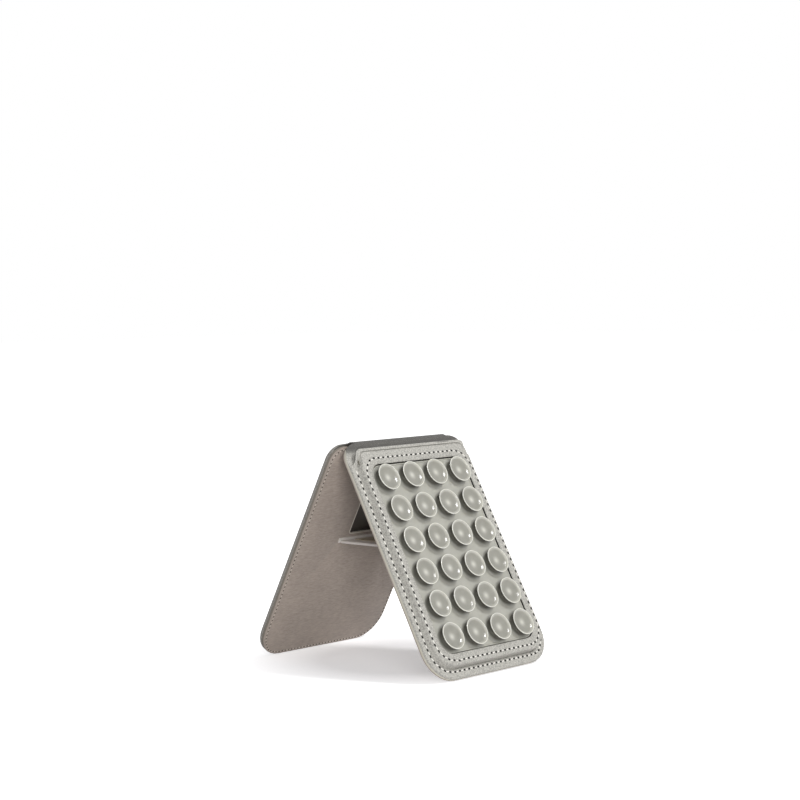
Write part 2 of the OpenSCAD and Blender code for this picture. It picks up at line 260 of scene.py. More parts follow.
def linear(code, factor=1.0):
    """An sRGB hex colour as linear RGBA, made darker or lighter by a factor."""
    parts = [int(code[i : i + 2], 16) / 255 for i in (1, 3, 5)]
    curve = [p / 12.92 if p <= 0.04045 else ((p + 0.055) / 1.055) ** 2.4 for p in parts]
    return (*[value * factor for value in curve], 1.0)


def add_node(tree, kind, inputs=(), **settings):
    """Adds a node. inputs is a dict of socket name or number to a value or another socket."""
    node = tree.nodes.new(kind)
    for name, value in settings.items():
        setattr(node, name, value)
    for key, value in dict(inputs).items():
        if isinstance(value, bpy.types.NodeSocket):
            tree.links.new(value, node.inputs[key])
        else:
            node.inputs[key].default_value = value
    return node


def made_once(build):
    """Lets pieces share a material: one that exists by its name isn't built again."""

    @functools.wraps(build)
    def shared(name, *args, **settings):
        return bpy.data.materials.get(name) or build(name, *args, **settings)

    return shared


def start_material(name):
    """An empty node material, its tree, and the Object coordinates for its patterns."""
    material = bpy.data.materials.new(name)
    material.use_nodes = True
    tree = material.node_tree
    tree.nodes.clear()
    return material, tree, add_node(tree, "ShaderNodeTexCoord").outputs["Object"]


def per_metre(size_mm):
    """Texture scale that makes one cell of a pattern this many millimetres wide."""
    return 1 / (size_mm * MM)


@made_once
def grained_leather(name, code, spine_shade_code=None, grain_mm=0.55, depth_mm=0.15):
    """Embossed split leather: closed pebbles, darker creases, dry low sheen, painted shade in the
    bend.
    """
    material, tree, place = start_material(name)
    warp = add_node(tree, "ShaderNodeTexNoise", {
        "Vector": place, "Scale": per_metre(grain_mm * 1.6), "Detail": 2.0
    })
    bent = add_node(tree, "ShaderNodeVectorMath", {
        0: warp.outputs["Color"], 1: (grain_mm * MM * 0.8,) * 3, 2: place
    }, operation="MULTIPLY_ADD")
    pebbles = add_node(tree, "ShaderNodeTexVoronoi", {
        "Vector": bent.outputs[0], "Scale": per_metre(grain_mm)
    }, feature="F1")
    pores = add_node(tree, "ShaderNodeTexNoise", {
        "Vector": place, "Scale": per_metre(grain_mm * 0.35), "Detail": 3.0
    })
    crease = add_node(tree, "ShaderNodeMapRange", {
        "Value": pebbles.outputs["Distance"], "From Min": 0.2, "From Max": 0.8,
        "To Min": 1.0, "To Max": 0.0
    })
    height = add_node(tree, "ShaderNodeMath", {
        0: pores.outputs["Fac"], 1: 0.35, 2: crease.outputs["Result"]
    }, operation="MULTIPLY_ADD")
    tops = add_node(tree, "ShaderNodeMapRange", {
        "Value": height.outputs[0], "From Min": 0.25, "From Max": 1.1
    })
    tint = add_node(tree, "ShaderNodeMix", {
        "Factor": tops.outputs["Result"], "A": linear(code, 0.74), "B": linear(code, 1.2)
    }, data_type="RGBA")
    colour = tint.outputs["Result"]
    # Painted shade: the leather darkens towards the spine shade colour in the bend
    if spine_shade_code:
        bend = add_node(tree, "ShaderNodeAttribute", attribute_name="spine_shade")
        colour = add_node(tree, "ShaderNodeMix", {
            "Factor": bend.outputs["Fac"], "A": colour, "B": linear(spine_shade_code)
        }, data_type="RGBA").outputs["Result"]
    bump = add_node(tree, "ShaderNodeBump", {
        "Height": height.outputs[0], "Strength": 0.9, "Distance": depth_mm * MM
    })
    body = add_node(tree, "ShaderNodeBsdfPrincipled", {
        "Base Color": colour, "Roughness": 0.5, "IOR": 1.46, "Normal": bump.outputs["Normal"]
    })
    add_node(tree, "ShaderNodeOutputMaterial", {"Surface": body.outputs[0]})
    return material


@made_once
def brushed_lining(name, code):
    """Raised polyester microfibre: a fine nap brushed across the panel, with a soft sheen."""
    material, tree, place = start_material(name)
    across = add_node(tree, "ShaderNodeMapping", {"Vector": place, "Scale": (0.22, 1.0, 1.0)})
    nap = add_node(tree, "ShaderNodeTexNoise", {
        "Vector": across.outputs[0], "Scale": per_metre(0.5), "Detail": 4.0, "Roughness": 0.7
    })
    cloud = add_node(tree, "ShaderNodeTexNoise", {
        "Vector": place, "Scale": per_metre(9), "Detail": 3.0
    })
    mixed = add_node(tree, "ShaderNodeMath", {
        0: cloud.outputs["Fac"], 1: 0.3, 2: nap.outputs["Fac"]
    }, operation="MULTIPLY_ADD")
    tone = add_node(tree, "ShaderNodeMapRange", {
        "Value": mixed.outputs[0], "From Min": 0.36, "From Max": 0.94
    })
    tint = add_node(tree, "ShaderNodeMix", {
        "Factor": tone.outputs["Result"], "A": linear(code, 0.7), "B": linear(code, 1.26)
    }, data_type="RGBA")
    bump = add_node(tree, "ShaderNodeBump", {
        "Height": nap.outputs["Fac"], "Strength": 0.5, "Distance": 0.12 * MM
    })
    body = add_node(tree, "ShaderNodeBsdfPrincipled", {
        "Base Color": tint.outputs["Result"], "Roughness": 0.86,
        "Sheen Weight": 0.2, "Sheen Roughness": 0.5, "Normal": bump.outputs["Normal"]
    })
    add_node(tree, "ShaderNodeOutputMaterial", {"Surface": body.outputs[0]})
    return material


@made_once
def smooth_leather(name, code):
    """Pigmented leather with a fine even grain, as on thin straps: a soft satin."""
    material, tree, place = start_material(name)
    grain = add_node(tree, "ShaderNodeTexNoise", {
        "Vector": place, "Scale": per_metre(0.35), "Detail": 3.0
    })
    tint = add_node(tree, "ShaderNodeMix", {
        "Factor": grain.outputs["Fac"], "A": linear(code, 0.9), "B": linear(code, 1.08)
    }, data_type="RGBA")
    bump = add_node(tree, "ShaderNodeBump", {
        "Height": grain.outputs["Fac"], "Strength": 0.35, "Distance": 0.06 * MM
    })
    body = add_node(tree, "ShaderNodeBsdfPrincipled", {
        "Base Color": tint.outputs["Result"], "Roughness": 0.55, "Normal": bump.outputs["Normal"]
    })
    add_node(tree, "ShaderNodeOutputMaterial", {"Surface": body.outputs[0]})
    return material


@made_once
def cast_silicone(name, code, lit_code):
    """Moulded translucent silicone, with painted light on thick rims and painted shade on thin
    skirts.
    """
    material, tree, place = start_material(name)
    painted_light = add_node(tree, "ShaderNodeAttribute", attribute_name="painted_light").outputs["Fac"]
    cloud = add_node(tree, "ShaderNodeTexNoise", {
        "Vector": place, "Scale": per_metre(3), "Detail": 2.0
    })
    share = add_node(tree, "ShaderNodeMath", {
        0: cloud.outputs["Fac"], 1: 0.12, 2: painted_light
    }, operation="MULTIPLY_ADD", use_clamp=True)
    tint = add_node(tree, "ShaderNodeMix", {
        "Factor": share.outputs[0], "A": linear(code), "B": linear(lit_code)
    }, data_type="RGBA")
    body = add_node(tree, "ShaderNodeBsdfPrincipled", {
        "Base Color": tint.outputs["Result"], "Roughness": 0.17, "IOR": 1.41,
        "Subsurface Weight": 0.25, "Subsurface Radius": (1.0, 0.95, 0.8),
        "Subsurface Scale": 1.0 * MM
    })
    add_node(tree, "ShaderNodeOutputMaterial", {"Surface": body.outputs[0]})
    return material


@made_once
def plain_finish(name, code, roughness, metallic=0.0, grain_mm=0.6, contrast=0.06):
    """A dense material with a faint even grain, such as board, paint or plated steel."""
    material, tree, place = start_material(name)
    grain = add_node(tree, "ShaderNodeTexNoise", {
        "Vector": place, "Scale": per_metre(grain_mm), "Detail": 3.0
    })
    tint = add_node(tree, "ShaderNodeMix", {
        "Factor": grain.outputs["Fac"], "A": linear(code, 1 - contrast),
        "B": linear(code, 1 + contrast)
    }, data_type="RGBA")
    bump = add_node(tree, "ShaderNodeBump", {
        "Height": grain.outputs["Fac"], "Strength": 0.3, "Distance": 0.02 * MM
    })
    body = add_node(tree, "ShaderNodeBsdfPrincipled", {
        "Base Color": tint.outputs["Result"], "Roughness": roughness, "Metallic": metallic,
        "Normal": bump.outputs["Normal"]
    })
    add_node(tree, "ShaderNodeOutputMaterial", {"Surface": body.outputs[0]})
    return material


def needle_hole_shade():
    """Painted shade of a needle hole: a dull spot, almost black."""
    return plain_finish("needle_hole_painted_shade", "#1F1D1B", 0.9)


def smooth_faces(bm):
    """Smooth faces, with sharp edges where they meet at more than a limit."""
    limit = math.radians(38)
    for face in bm.faces:
        face.smooth = True
    for edge in bm.edges:
        edge.smooth = edge.calc_face_angle(0) < limit


def place_piece(bm, name, matrix, material, body, replaces=()):
    """Turns a bmesh into a finished piece on its CAD body."""
    bm.transform(matrix)
    bmesh.ops.recalc_face_normals(bm, faces=bm.faces)
    smooth_faces(bm)
    mesh = bpy.data.meshes.new(name)
    bm.to_mesh(mesh)
    bm.free()
    mesh.materials.append(material)
    piece = bpy.data.objects.new(name, mesh)
    bpy.context.scene.collection.objects.link(piece)
    if body:
        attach(piece, body)
    if replaces:
        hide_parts(*replaces)
    return piece


def arc(centre_x, centre_y, radius, start, stop, steps):
    """Points on an arc, in degrees."""
    angles = [math.radians(start + (stop - start) * i / steps) for i in range(steps + 1)]
    return [(centre_x + radius * math.cos(a), centre_y + radius * math.sin(a)) for a in angles]


def mirrored(right):
    """A closed outline from its right half, listed upward."""
    return right + [(-x, y) for x, y in reversed(right)]


def rounded_outline(half, low, high, foot, top, foot_steps, top_steps):
    """A rounded rectangle that is centred on the panel, with the radii of its foot and top."""
    right = arc(half - foot, low + foot, foot, -90, 0, foot_steps)
    right += arc(half - top, high - top, top, 0, 90, top_steps)
    return mirrored(right)


def box_outline(half, low, high, radius):
    """A small rounded rectangle."""
    return rounded_outline(half, low, high, radius, radius, BOX_STEPS, BOX_STEPS)


def panel_outline(inset):
    """Outline of a panel from its foot up to the bend, drawn in by an inset."""
    return rounded_outline(
        HALF_WIDTH - inset, -FOOT_DROP + inset, -LINING_START - inset,
        FOOT_RADIUS - inset, LINING_RADIUS - inset, ARC_STEPS, ARC_STEPS
    )


def ease(t):
    """0 to 1 with a soft start and end."""
    t = min(max(t, 0), 1)
    return t * t * (3 - 2 * t)


def shoulder_point(t, inset):
    """A point on the stepped shoulder, from the mouth at 0 to the side of the panel at 1."""
    swing = NOTCH_SWING * math.sin(math.tau * t)
    return SHOULDER - inset + NOTCH * (t + swing), -MOUTH - inset - NOTCH_DROP * (t - swing)


def front_outline(side_inset, foot_inset, mouth_inset):
    """Outline of the pocket front with its stepped shoulders."""
    half = HALF_WIDTH - side_inset
    low = -FOOT_DROP + foot_inset
    foot = FOOT_RADIUS - side_inset
    right = arc(half - foot, low + foot, foot, -90, 0, ARC_STEPS)
    beyond = (mouth_inset - side_inset) / NOTCH
    end = 1 + beyond / (1 + math.tau * NOTCH_SWING)
    ends = [end * (1 - i / SHOULDER_STEPS) for i in range(SHOULDER_STEPS + 1)]
    shoulder = [shoulder_point(t, mouth_inset) for t in ends]
    right += [(min(x, half), y) for x, y in shoulder]
    return mirrored(right)


def front_levels(side, mouth, foot):
    """Levels along the front's outline: at the sides, along the mouth and along the foot."""
    steps = [1 - i / SHOULDER_STEPS for i in range(SHOULDER_STEPS + 1)]
    right = [foot + (side - foot) * ease(i / ARC_STEPS) for i in range(ARC_STEPS + 1)]
    right += [mouth + (side - mouth) * ease((t - 0.25) / 0.65) for t in steps]
    return right + right[::-1]


def window_outline(grow):
    """Outline of the window in the pocket front, with as many points as the front's outline."""
    radius = WINDOW_RADIUS + grow
    return rounded_outline(
        WINDOW_HALF + grow, -WINDOW_FOOT - grow, -WINDOW_TOP + grow, radius, radius,
        ARC_STEPS, SHOULDER_STEPS
    )


def ring_edges(bm, verts):
    """The edges of a closed ring of vertices, made where they are missing."""
    pairs = zip(verts, verts[1:] + verts[:1])
    return [bm.edges.get(pair) or bm.edges.new(pair) for pair in pairs]


def raised(points, levels):
    """An outline's points in space. levels is one level, or a list of one for each point."""
    levels = levels if isinstance(levels, list) else [levels] * len(points)
    return [(x, y, z) for (x, y), z in zip(points, levels)]


def add_ring(bm, points, levels):
    """A closed ring of vertices."""
    return [bm.verts.new(place) for place in raised(points, levels)]


def fill(bm, rings):
    """Faces between closed rings of vertices."""
    edges = [edge for ring in rings for edge in ring_edges(bm, ring)]
    bmesh.ops.triangle_fill(bm, edges=edges, use_beauty=True)


def loft(bm, sections, closed=True):
    """Extrudes the first ring through the others, point for point, and back to the first."""
    first = verts = add_ring(bm, *sections[0])
    for points, levels in sections[1:] + (sections[:1] if closed else []):
        made = bmesh.ops.extrude_edge_only(bm, edges=ring_edges(bm, verts))["geom"]
        fresh = {part for part in made if isinstance(part, bmesh.types.BMVert)}
        verts = [
            next(e.other_vert(v) for e in v.link_edges if e.other_vert(v) in fresh)
            for v in verts
        ]
        for vert, place in zip(verts, raised(points, levels)):
            vert.co = place
    if closed:
        bmesh.ops.remove_doubles(bm, verts=first + verts, dist=0.0001)
    return first, verts


def plate(outlines, low, high, bevel):
    """A flat plate with holes: filled between its outlines, thickened, with eased edges."""
    bm = bmesh.new()
    fill(bm, [add_ring(bm, outline, low) for outline in outlines])
    solid = bmesh.ops.extrude_face_region(bm, geom=list(bm.faces), use_keep_orig=True)
    top = [part for part in solid["geom"] if isinstance(part, bmesh.types.BMVert)]
    bmesh.ops.translate(bm, verts=top, vec=(0, 0, high - low))
    bmesh.ops.recalc_face_normals(bm, faces=bm.faces)
    corners = [edge for edge in bm.edges if edge.calc_face_angle(0) > math.radians(60)]
    rims = [edge for edge in corners if abs(edge.verts[0].co.z - edge.verts[1].co.z) < 1e-6]
    bmesh.ops.bevel(
        bm, geom=rims, offset=bevel, offset_type="OFFSET", affect="EDGES", segments=2,
        profile=0.5, material=-1
    )
    return bm


def cover_half_width(reach, inset):
    """Half of the leather's width at a reach down a panel, which is less than 0 in the bend."""
    top = reach - WAIST_CENTRE
    foot = reach - (FOOT_DROP - FOOT_RADIUS)
    if top < 0:
        run = min(-top, WAIST_RADIUS)
        return HALF_WIDTH - inset - WAIST_RADIUS + math.sqrt(WAIST_RADIUS**2 - run**2)
    if foot > 0:
        radius = FOOT_RADIUS - inset
        run = min(foot, radius)
        return HALF_WIDTH - FOOT_RADIUS + math.sqrt(radius**2 - run**2)
    return HALF_WIDTH - inset


def cover_row(side, reach):
    """Half width, place beside the hinge axis and painted spine shade of one row of the outer
    leather.
    """
    rise = ease((reach - PANEL_START) / FACE_RUN) if side > 0 else 0
    level = BACK_HIGH + (FACE_HIGH - BACK_HIGH) * rise
    half = cover_half_width(reach, FACE_INSET * rise)
    spine_shade = min(max((SPINE_SHADE_REACH - reach) / SPINE_SHADE_FADE, 0), 1)
    if reach < 0:
        angle = LEAN - reach / BACK_HIGH
        y = side * BACK_HIGH * math.cos(angle)
        return half, y, BACK_HIGH * math.sin(angle), spine_shade
    y = side * (reach * math.sin(LEAN) + level * math.cos(LEAN))
    return half, y, -reach * math.cos(LEAN) + level * math.sin(LEAN), spine_shade


def cover_rows():
    """Rows of the outer leather, from the rear foot over the bend to the wallet foot."""
    angles = [math.radians(90 * i / CORNER_STEPS) for i in range(CORNER_STEPS + 1)]
    top = [WAIST_CENTRE - WAIST_RADIUS * math.sin(a) for a in angles]
    bend = [top[-1] - (HALF_BEND + top[-1]) * i / BEND_STEPS for i in range(1, BEND_STEPS + 1)]
    middle = [WAIST_CENTRE + MIDDLE_STEP * i for i in range(MIDDLE_ROWS, 0, -1)]
    rows = []
    for side, inset in ((1, FACE_INSET), (-1, 0)):
        radius = FOOT_RADIUS - inset
        foot = [FOOT_DROP - FOOT_RADIUS + radius * math.cos(a) for a in angles]
        half = [cover_row(side, reach) for reach in foot + middle + top + bend]
        rows += half if side > 0 else reversed(half[:-1])
    return rows


class STAND_OT_outer_leather(bpy.types.Operator):
    """Outer leather: one sheet over the rear panel, round the hinge and down behind the wallet"""

    bl_idname = "phone_stand.outer_leather"
    bl_label = "Outer Leather"

    def execute(self, context):
        colours = context.scene.stand_colours
        rows = cover_rows()
        bm = bmesh.new()
        bmesh.ops.create_grid(bm, x_segments=COVER_COLUMNS, y_segments=len(rows) - 1, size=1)
        # Each vertex's share of painted shade in the bend
        spine_shade = bm.verts.layers.float.new("spine_shade")
        for vert in bm.verts:
            half, y, z, vert[spine_shade] = rows[round((vert.co.y + 1) / 2 * (len(rows) - 1))]
            vert.co = Vector((vert.co.x * half, y, z))
        bmesh.ops.recalc_face_normals(bm, faces=bm.faces)
        if sum(face.normal.z for face in bm.faces) < 0:
            bmesh.ops.reverse_faces(bm, faces=bm.faces)
        bmesh.ops.solidify(bm, geom=list(bm.faces), thickness=LEATHER)
        leather = grained_leather("embossed_leather_cover", colours.leather, colours.spine_shade)
        matrix = Matrix.Scale(MM, 4) @ Matrix.Translation(AXIS)
        cover = place_piece(
            bm, "outer_leather", matrix, leather, None,
            ("rear_face_skin", "hinge_cover", "hinge_liner", "wallet_back_skin")
        )
        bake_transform(cover)
        return {"FINISHED"}


class STAND_OT_pocket_front(bpy.types.Operator):
    """Pocket front: flat stitched margin, raised padded frame and window, pressed from one hide"""

    bl_idname = "phone_stand.pocket_front"
    bl_label = "Pocket Front"

    def execute(self, context):
        colours = context.scene.stand_colours
        leather = grained_leather("embossed_leather", colours.leather)
        sections = [
            (front_outline(side, foot, mouth), front_levels(low, high, low - crease))
            for side, foot, mouth, low, high, crease in FRONT_ROWS
        ]
        sections += [(window_outline(grow), FRONT_HIGH - drop) for grow, drop in WINDOW_ROWS]
        sections += [
            (front_outline(side, foot, mouth), front_levels(low, high, low))
            for side, foot, mouth, low, high in UNDER_ROWS
        ]
        bm = bmesh.new()
        loft(bm, sections)
        front = place_piece(
            bm, "pocket_front_leather", WALLET, leather, BODY_WALLET,
            ("pocket_front", "front_padding")
        )
        wall = (
            (0.8, FRONT_HIGH - 0.45), (0.12, FRONT_HIGH - 0.42),
            (0.12, CARRIER_HIGH + 0.03), (0.8, CARRIER_HIGH + 0.03),
        )
        bm = bmesh.new()
        loft(bm, [(window_outline(grow), level) for grow, level in wall])
        # Foam edge of the padding, made near black as painted shade where the frame's shadow falls
        foam_and_shade = plain_finish("dark_foam_and_painted_shade", "#1D1B19", 0.95)
        place_piece(bm, "window_wall", WALLET, foam_and_shade, BODY_WALLET)
        bm = bmesh.new()
        for half, below, middle, depth in MOUTH_CREASE_SHADES:
            outline = box_outline(half, 0, 2 * CREASE_SHADE_HALF, CREASE_SHADE_HALF)
            points = [(x + middle, y - MOUTH - below) for x, y in outline]
            fill(bm, [add_ring(bm, points, FRONT_HIGH - depth)])
        bmesh.ops.solidify(bm, geom=list(bm.faces), thickness=0.1)
        # Painted shade: a matt dark strip laid in each crease, where its shadow falls
        crease = plain_finish("painted_crease_shade", "#3E3B38", 0.8)
        place_piece(bm, "mouth_crease_shades", WALLET, crease, BODY_WALLET)
        return {"FINISHED"}


def walk(points, pitch, closed):
    """Evenly spaced places and headings along a line of points."""
    ring = points + points[:1] if closed else points
    lengths = [math.dist(a, b) for a, b in zip(ring, ring[1:])]
    count = max(round(sum(lengths) / pitch), 1)
    step = sum(lengths) / count
    places = []
    wanted = step / 2
    passed = 0.0
    for (a, b), length in zip(zip(ring, ring[1:]), lengths):
        while length > 0 and wanted <= passed + length + 1e-9:
            t = (wanted - passed) / length
            heading = math.atan2(b[1] - a[1], b[0] - a[0])
            places.append((a[0] + (b[0] - a[0]) * t, a[1] + (b[1] - a[1]) * t, heading))
            wanted += step
        passed += length
    return places, step


def stamp(bm, shape, matrices):
    """Adds a copy of a small finished bmesh at each matrix."""
    mesh = bpy.data.meshes.new("stamp")
    shape.to_mesh(mesh)
    shape.free()
    for matrix in matrices:
        mesh.transform(matrix)
        bm.from_mesh(mesh)
        mesh.transform(matrix.inverted())
    bpy.data.meshes.remove(mesh)


def sphere(u_segments, v_segments):
    """A small sphere of radius 1, to be stretched into a bar of thread or a pit."""
    bm = bmesh.new()
    bmesh.ops.create_uvsphere(bm, u_segments=u_segments, v_segments=v_segments, radius=1)
    return bm


def stitch_row(bm, points, pitch, closed, level, thickness):
    """Adds one slanting stitch per place: a short rounded bar of thread, sunk at both ends.

    It is two thirds of the step long, and the pull of the thread presses it a little flat.
    """
    places, step = walk(points, pitch, closed)
    size = Matrix.Diagonal((step * 0.33, thickness / 2, thickness * 0.42, 1))
    stamp(bm, sphere(8, 6), [
        Matrix.Translation((x, y, level)) @ Matrix.Rotation(heading + SLANT, 4, "Z") @ size
        for x, y, heading in places
    ])


def hole_row(bm, points, pitch, closed, level, width):
    """Adds a small dark spot of painted shade for each needle hole between two stitches."""
    places, step = walk(points, pitch, closed)
    size = Matrix.Diagonal((width * 0.8, width / 2, 0.06, 1))
    ahead = Matrix.Translation((step / 2, 0, 0))
    stamp(bm, sphere(8, 4), [
        Matrix.Translation((x, y, level)) @ Matrix.Rotation(heading, 4, "Z") @ ahead @ size
        for x, y, heading in places
    ])


def outer_seam():
    """The wallet's outer seam, an open line from one shoulder round the foot to the other."""
    from_side, from_foot, from_corner = 2, 2.65, 2.3
    half = HALF_WIDTH - from_side
    low = -FOOT_DROP + from_foot
    radius = FOOT_RADIUS - from_corner
    right = arc(half - radius, low + radius, radius, -90, 0, ARC_STEPS)
    right.append((half, -MOUTH - NOTCH - 1.3))
    return [(-x, y) for x, y in reversed(right)] + right


def inner_seam():
    """The wallet's inner seam, a closed ring on the raised frame."""
    return box_outline(WINDOW_HALF + 3, -WINDOW_FOOT - 2.65, -WINDOW_TOP + 2.4, 8)


class STAND_OT_wallet_seams(bpy.types.Operator):
    """Wallet seams: thread and needle holes along the margin and round the raised frame"""

    bl_idname = "phone_stand.wallet_seams"
    bl_label = "Wallet Seams"

    def execute(self, context):
        sizes = context.scene.stand_sizes
        colours = context.scene.stand_colours
        # Bonded polyester thread: pale, with a soft gleam on each stitch
        thread = plain_finish("bonded_polyester_thread", colours.thread, 0.6, grain_mm=0.3)
        rows = [(outer_seam(), False, FLANGE_HIGH), (inner_seam(), True, FRONT_HIGH)]
        stitches = bmesh.new()
        holes = bmesh.new()
        for points, closed, level in rows:
            stitch_row(stitches, points, sizes.stitch_pitch, closed, level, sizes.thread)
            hole_row(holes, points, sizes.stitch_pitch, closed, level, sizes.thread * 1.9)
        place_piece(stitches, "wallet_thread", WALLET, thread, BODY_WALLET)
        place_piece(holes, "wallet_needle_holes", WALLET, needle_hole_shade(), BODY_WALLET)
        return {"FINISHED"}


def node_spans(name, matrix):
    """Lowest and highest place of a CAD node on each axis of a panel or the strut."""
    inverse = matrix.inverted()
    points = [inverse @ vert.co for vert in frame["nodes"][name].data.vertices]
    return [(min(values), max(values)) for values in zip(*points)]


def node_rectangle(name, matrix, shrink=0.0):
    """(half width, lowest, highest) of a CAD node in a panel's own millimetres."""
    across, along, _ = node_spans(name, matrix)
    return across[1] - shrink, along[0] + shrink, along[1] - shrink


def strap_window():
    """The strap window, inside the walls of its dark tray."""
    return node_rectangle("window_recess", REAR, 0.35)


def strut_slit():
    """The slit behind the root of the strut."""
    half, low, high = node_rectangle("strut_anchor", REAR)
    middle = (low + high) / 2
    return half, middle - 0.6, middle + 0.6


class STAND_OT_linings(bpy.types.Operator):
    """Linings: brushed fabric on both inner faces, with strap window, slit and fine seams"""

    bl_idname = "phone_stand.linings"
    bl_label = "Linings"

    def execute(self, context):
        sizes = context.scene.stand_sizes
        colours = context.scene.stand_colours
        fabric = brushed_lining("brushed_microfibre", colours.lining)
        # Spun polyester thread: thinner and duller, close to the lining's own colour
        thread = plain_finish("spun_polyester_thread", "#CFC6BA", 0.7, grain_mm=0.3)
        # Bonded microfibre, cut and sealed: a light line round the strap window
        trim = plain_finish("sealed_microfibre_edge", "#D9D3C9", 0.7)
        rounding = 0.2
        bm = plate([panel_outline(LINING_CLEARANCE)], HALF_GAP, BOARD_LOW, rounding)
        place_piece(bm, "wallet_lining_cloth", WALLET, fabric, BODY_WALLET,
                    ("wallet_lining",))
        half, low, high = strap_window()
        corner = 1.0
        outlines = [
            panel_outline(LINING_CLEARANCE), box_outline(half, low, high, corner),
            box_outline(*strut_slit(), 0.2)
        ]
        bm = plate(outlines, HALF_GAP, BOARD_LOW, rounding)
        place_piece(bm, "rear_lining_cloth", REAR, fabric, BODY_REAR, ("rear_lining",))
        width = 0.4
        proud = HALF_GAP - 0.08
        section = ((width, BOARD_LOW), (width, proud), (0, proud), (0, BOARD_LOW))
        bm = bmesh.new()
        loft(bm, [
            (box_outline(half + grow, low - grow, high + grow, corner + grow), level)
            for grow, level in section
        ])
        place_piece(bm, "strap_window_edge", REAR, trim, BODY_REAR)
        # Each seam's name, panel, body, distance from the edge and level
        seams = (
            ("rear_lining", REAR, BODY_REAR, 1.0, HALF_GAP),
            ("wallet_lining", WALLET, BODY_WALLET, 1.0, HALF_GAP),
            ("rear_face", REAR, BODY_REAR, 2.4, FACE_HIGH),
        )
        for name, matrix, body, inset, level in seams:
            outline = panel_outline(inset)
            stitches = bmesh.new()
            holes = bmesh.new()
            stitch_row(stitches, outline, sizes.lining_pitch, True, level, 0.3)
            hole_row(holes, outline, sizes.lining_pitch, True, level, 0.5)
            place_piece(stitches, name + "_thread", matrix, thread, body)
            place_piece(holes, name + "_holes", matrix, needle_hole_shade(), body)
        return {"FINISHED"}


class STAND_OT_edges(bpy.types.Operator):
    """Panel edges: a crowned painted band, and the leather turned over the rear panel's rim"""

    bl_idname = "phone_stand.edges"
    bl_label = "Panel Edges"

    def execute(self, context):
        colours = context.scene.stand_colours
        # Acrylic edge paint, rolled on in coats: dull, a little uneven, darkened as painted shade
        rear_paint_and_shade = plain_finish(
            "acrylic_edge_paint_and_shade", colours.edge, 0.75, grain_mm=0.8, contrast=0.08
        )
        # The same paint in cream: a light line down the wallet's side
        wallet_paint = plain_finish("cream_edge_paint", colours.wallet_edge, 0.6, grain_mm=0.8)
        # Leather pared thin and turned over, finer pebbles; its darker tone is painted shade on
        # the rim
        turned_with_shade = grained_leather("skived_leather_and_shade", "#8B8882", grain_mm=0.5)
        split = BOARD_LOW + 0.9
        # Each band's section is a closed ring of insets and levels
        bands = (
            ("rear_edge_band", REAR, BODY_REAR, rear_paint_and_shade, ("rear_edge",), (
                (0.9, HALF_GAP + 0.3), (0.15, HALF_GAP + 0.32), (0.02, HALF_GAP + 0.6),
                (0.0, BOARD_LOW + 0.4), (0.05, split - 0.1), (0.2, split), (0.9, split),
            )),
            ("rear_turned_edge", REAR, BODY_REAR, turned_with_shade, (), (
                (0.9, split), (0.2, split + 0.02), (0.02, split + 0.2), (0.0, split + 0.5),
                (0.1, FACE_HIGH - 0.5), (0.35, FACE_HIGH - 0.16), (0.7, FACE_HIGH - 0.03),
                (1.1, FACE_HIGH - 0.02), (1.1, FACE_HIGH - 0.4),
            )),
            ("wallet_edge_band", WALLET, BODY_WALLET, wallet_paint, ("wallet_edge",), (
                (0.9, HALF_GAP + 0.3), (0.25, HALF_GAP + 0.32), (0.05, HALF_GAP + 0.5),
                (-0.05, BACK_LOW - 0.4), (-0.05, BACK_LOW + 0.1), (0.05, BACK_HIGH - 0.06),
                (0.9, BACK_HIGH - 0.3),
            )),
        )
        for name, matrix, body, material, nodes, section in bands:
            bm = bmesh.new()
            loft(bm, [(panel_outline(inset), level) for inset, level in section])
            place_piece(bm, name, matrix, material, body, nodes)
        return {"FINISHED"}


def cup_profile(radius, height):
    """Half section of a suction cup, from the shaded sheet over the lip to the cup's centre.

    Each point is its radius, its height and how much light is painted on the silicone there.
    """
    stem = radius - 1.9
    brim = radius - 0.34
    dish = 1.1
    # A dark disc of painted shade lies on the sheet under each cup, and painted light on its lip
    points = [
        (radius + 0.25, -0.05, 0.5), (radius + 0.2, 0.02, 0.45), (radius - 0.9, 0.02, 0.02),
        (stem + 0.5, 0.03, 0.0), (stem, 0.25, 0.0), (stem - 0.2, height * 0.3, 0.0),
        (stem + 0.05, height * 0.5, 0.0), (radius - 0.95, height * 0.72, 0.1),
        (radius - 0.25, height - 0.44, 0.5), (radius, height - 0.18, 1.0),
        (radius - 0.05, height - 0.04, 1.0), (radius - 0.17, height, 1.0),
        (brim, height - 0.04, 0.95),
    ]
    # Light is painted on the dish over the stem, and again where it nears the lip
    for i in range(1, DISH_STEPS + 1):
        turn = math.pi / 2 * i / DISH_STEPS
        across = brim * math.cos(turn) if i < DISH_STEPS else 0.0
        painted_light = 0.25 + 0.5 * math.exp(-((across / 1.2) ** 2))
        painted_light += 0.4 * math.exp(-(((brim - across) / 0.45) ** 2))
        points.append((across, height - 0.04 - dish * math.sin(turn), painted_light))
    return points


def cup_shape(radius, height):
    """One cup, spun about its own axis."""
    bm = bmesh.new()
    painted_light = bm.verts.layers.float.new("painted_light")
    verts = []
    for across, rise, value in cup_profile(radius, height):
        vert = bm.verts.new((across, 0, rise))
        vert[painted_light] = value
        verts.append(vert)
    edges = [bm.edges.new(pair) for pair in zip(verts, verts[1:])]
    bmesh.ops.spin(
        bm, geom=verts + edges, cent=(0, 0, 0), axis=(0, 0, 1), angle=math.tau,
        steps=CUP_SEGMENTS, use_merge=True
    )
    bmesh.ops.remove_doubles(bm, verts=bm.verts, dist=0.002)
    return bm


